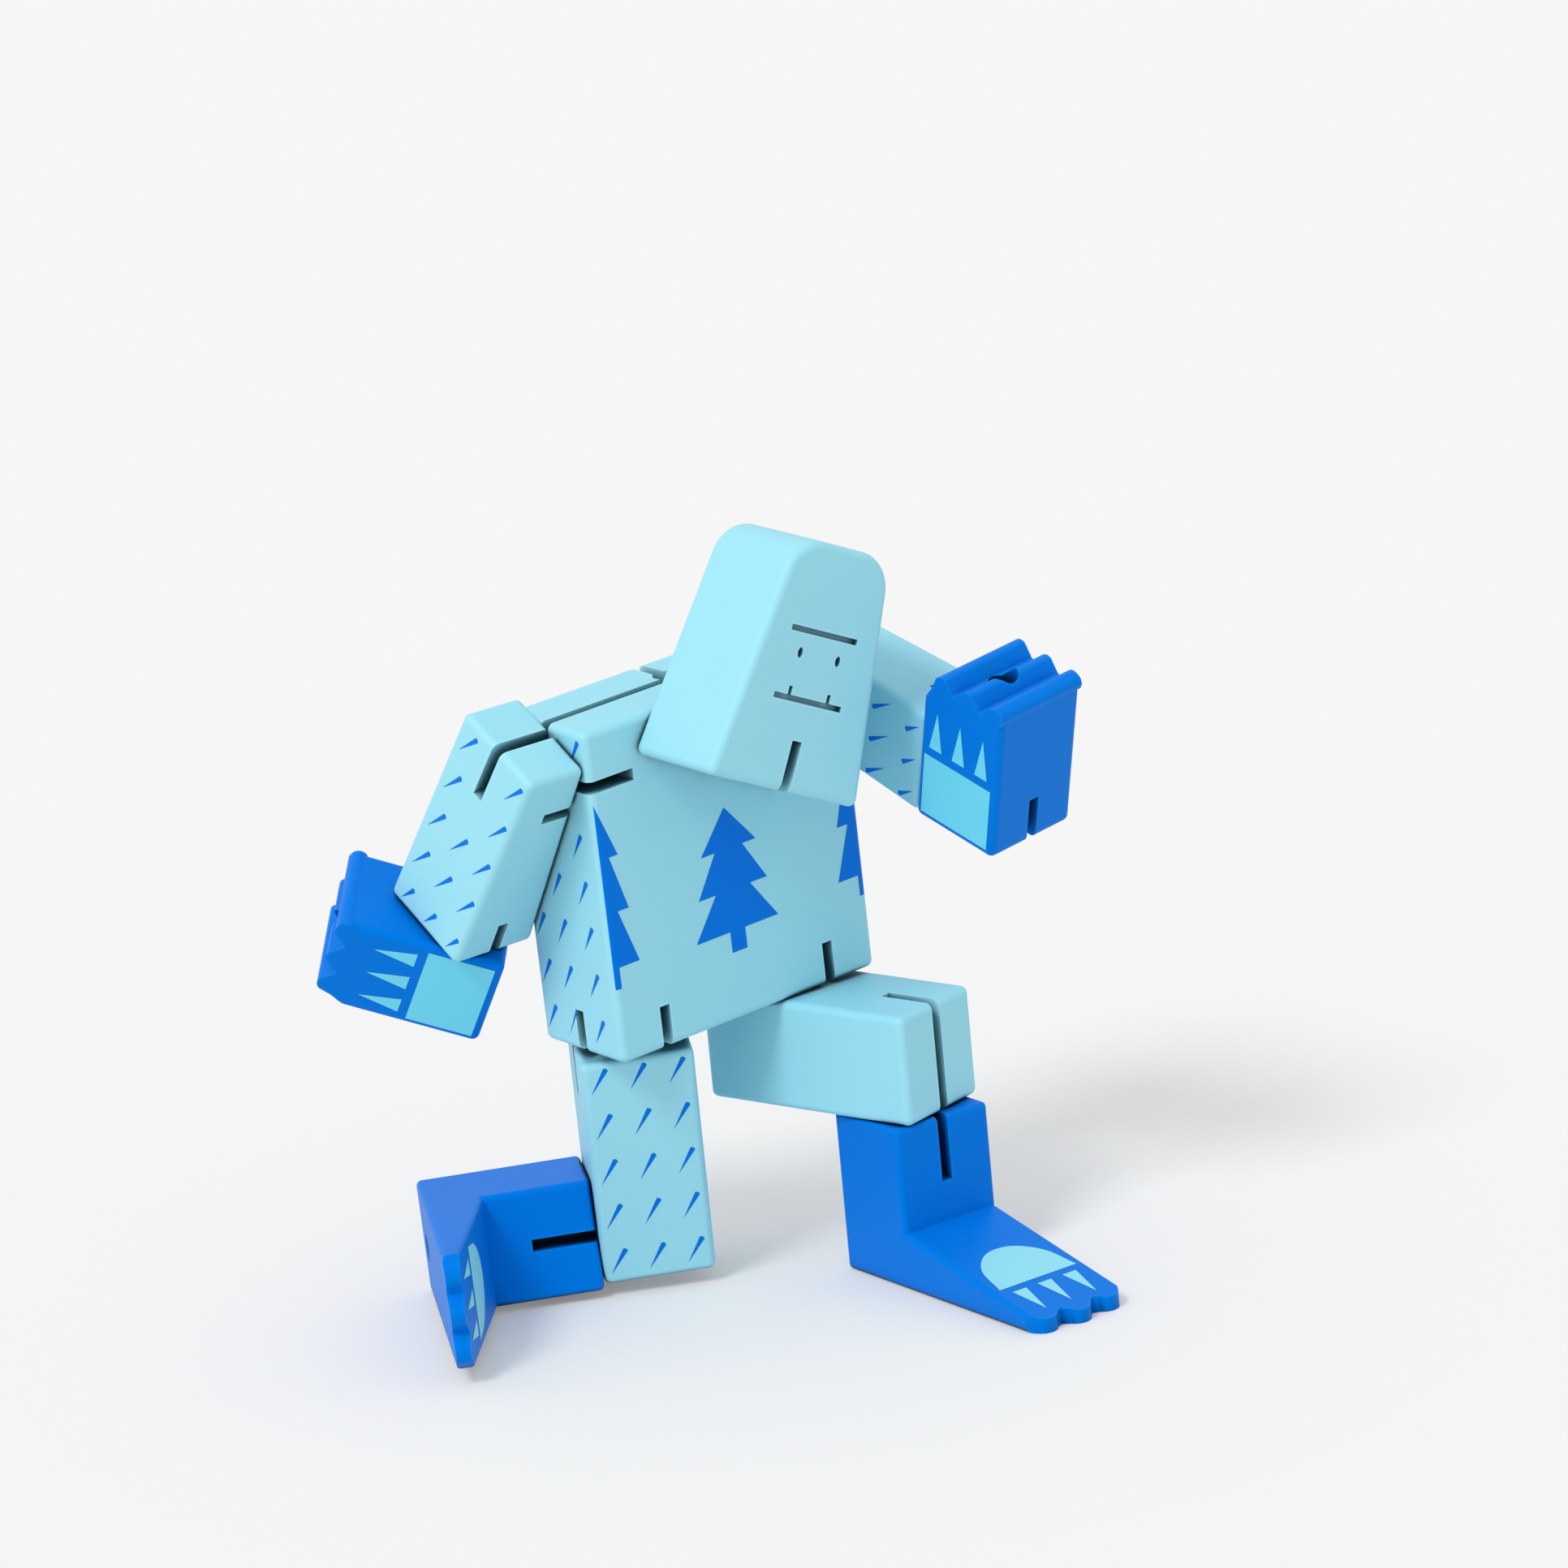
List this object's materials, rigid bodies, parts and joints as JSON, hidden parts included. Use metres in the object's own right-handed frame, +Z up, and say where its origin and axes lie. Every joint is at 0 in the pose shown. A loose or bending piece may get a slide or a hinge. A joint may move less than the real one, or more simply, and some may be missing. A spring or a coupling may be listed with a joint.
{
  "type": "posable wooden figure",
  "caption": "Posable figure of painted wooden blocks strung on elastic cord, standing in a low stride on one foot and one folded leg",
  "frame": {"origin": "middle of the underside of the figure's bounding box, on the surface it stands on", "axes": "+Z up, -Y the way the chest faces, +X the figure's left"},
  "size_m": [0.139, 0.1388, 0.1641],
  "materials": {
    "paint_light": "light blue satin paint on smooth hardwood",
    "paint_dark": "royal blue satin paint on smooth hardwood",
    "peg": "bare hardwood dowel, glued in",
    "elastic": "dark round elastic cord"
  },
  "bodies": {
    "torso": {"torso": "paint_light", "torso_arm_cord": "elastic", "torso_leg_cord": "elastic", "torso_neck_cord": "elastic", "torso_neck_peg": "peg"},
    "head": {"head": "paint_light", "head_peg": "peg", "head_cord": "elastic"},
    "arm_right": {"arm_right": "paint_light", "arm_right_cord": "elastic"},
    "hand_right": {"hand_right": "paint_dark", "hand_right_knot": "elastic", "hand_right_cord": "elastic"},
    "thigh_right": {"thigh_right": "paint_light", "thigh_right_cord": "elastic"},
    "lower_leg_right": {"lower_leg_right": "paint_dark", "lower_leg_right_knot": "elastic", "lower_leg_right_cord": "elastic"},
    "arm_left": {"arm_left": "paint_light", "arm_left_cord": "elastic"},
    "hand_left": {"hand_left": "paint_dark", "hand_left_knot": "elastic", "hand_left_cord": "elastic"},
    "thigh_left": {"thigh_left": "paint_light", "thigh_left_cord": "elastic"},
    "lower_leg_left": {"lower_leg_left": "paint_dark", "lower_leg_left_knot": "elastic", "lower_leg_left_cord": "elastic"},
    "head_link": {"head_link": "elastic"},
    "thigh_right_link": {"thigh_right_link": "elastic"},
    "thigh_left_link": {"thigh_left_link": "elastic"},
    "arm_right_link": {"arm_right_link": "elastic"},
    "hand_right_link": {"hand_right_link": "elastic"},
    "lower_leg_right_link": {"lower_leg_right_link": "elastic"},
    "arm_left_link": {"arm_left_link": "elastic"},
    "hand_left_link": {"hand_left_link": "elastic"},
    "lower_leg_left_link": {"lower_leg_left_link": "elastic"}
  },
  "joints": [
    {"name": "neck_turn", "type": "hinge", "parent": "torso", "child": "head_link", "pos_m": [0.01002, 0.00088, 0.12258], "axis": [-0.0015, 0.9995, 0.0314], "range_deg": [-90, 30]},
    {"name": "neck_rock", "type": "hinge", "parent": "head_link", "child": "head", "pos_m": [0.00701, -0.00052, 0.11578], "axis": [0.9128, 0.0142, -0.4081], "range_deg": [0, 45]},
    {"name": "shoulder_right_turn", "type": "hinge", "parent": "torso", "child": "arm_right_link", "pos_m": [-0.02419, 0.01552, 0.11732], "axis": [0.9989, 0, 0.0471], "range_deg": [-5, 150]},
    {"name": "shoulder_right_rock", "type": "hinge", "parent": "arm_right_link", "child": "arm_right", "pos_m": [-0.02635, 0.01175, 0.12712], "axis": [-0.0259, 0.8348, 0.5499], "range_deg": [0, 45]},
    {"name": "shoulder_left_turn", "type": "hinge", "parent": "torso", "child": "arm_left_link", "pos_m": [0.04453, 0.01549, 0.12157], "axis": [-0.9989, 0, -0.0471], "range_deg": [-30, 150]},
    {"name": "shoulder_left_rock", "type": "hinge", "parent": "arm_left_link", "child": "arm_left", "pos_m": [0.04607, 0.02527, 0.12494], "axis": [-0.0446, -0.319, 0.9467], "range_deg": [0, 45]},
    {"name": "wrist_right_turn", "type": "hinge", "parent": "arm_right", "child": "hand_right_link", "pos_m": [-0.03155, 0.03724, 0.08558], "axis": [0.0232, -0.5494, 0.8352], "range_deg": [-90, 90]},
    {"name": "wrist_right_rock", "type": "hinge", "parent": "hand_right_link", "child": "hand_right", "pos_m": [-0.02612, 0.03415, 0.08148], "axis": [-0.6626, -0.634, -0.3987], "range_deg": [0, 30]},
    {"name": "wrist_left_turn", "type": "hinge", "parent": "arm_left", "child": "hand_left_link", "pos_m": [0.05568, -0.01989, 0.10795], "axis": [-0.0774, 0.9459, 0.315], "range_deg": [-90, 90]},
    {"name": "wrist_left_rock", "type": "hinge", "parent": "hand_left_link", "child": "hand_left", "pos_m": [0.05649, -0.01906, 0.10057], "axis": [0.9925, 0.043, 0.1147], "range_deg": [0, 45]},
    {"name": "hip_right_turn", "type": "hinge", "parent": "torso", "child": "thigh_right_link", "pos_m": [-0.00678, 0.01879, 0.05855], "axis": [-0.0471, -0.0314, 0.9984], "range_deg": [-60, 60]},
    {"name": "hip_right_rock", "type": "hinge", "parent": "thigh_right_link", "child": "thigh_right", "pos_m": [-0.00038, 0.02992, 0.05748], "axis": [-0.8561, 0.5163, -0.0241], "range_deg": [-10, 7]},
    {"name": "hip_left_turn", "type": "hinge", "parent": "torso", "child": "thigh_left_link", "pos_m": [0.03124, 0.01645, 0.05942], "axis": [0, 0, 1], "range_deg": [-10, 60]},
    {"name": "hip_left_rock", "type": "hinge", "parent": "thigh_left_link", "child": "thigh_left", "pos_m": [0.02902, 0.02599, 0.05782], "axis": [0.974, 0.2267, 0], "range_deg": [0, 30]},
    {"name": "knee_right_turn", "type": "hinge", "parent": "thigh_right", "child": "lower_leg_right_link", "pos_m": [-0.01129, 0.03327, 0.01368], "axis": [0.8561, -0.5163, 0.0241], "range_deg": [-60, 90]},
    {"name": "knee_right_rock", "type": "hinge", "parent": "lower_leg_right_link", "child": "lower_leg_right", "pos_m": [-0.00735, 0.04208, 0.01309], "axis": [-0.0097, -0.0627, -0.998], "range_deg": [0, 45]},
    {"name": "knee_left_turn", "type": "hinge", "parent": "thigh_left", "child": "lower_leg_left_link", "pos_m": [0.03861, -0.01521, 0.0353], "axis": [0, 0, 1], "range_deg": [-90, 90]},
    {"name": "knee_left_rock", "type": "hinge", "parent": "lower_leg_left_link", "child": "lower_leg_left", "pos_m": [0.03904, -0.00562, 0.0341], "axis": [0.999, -0.0454, 0], "range_deg": [0, 45]}
  ]
}
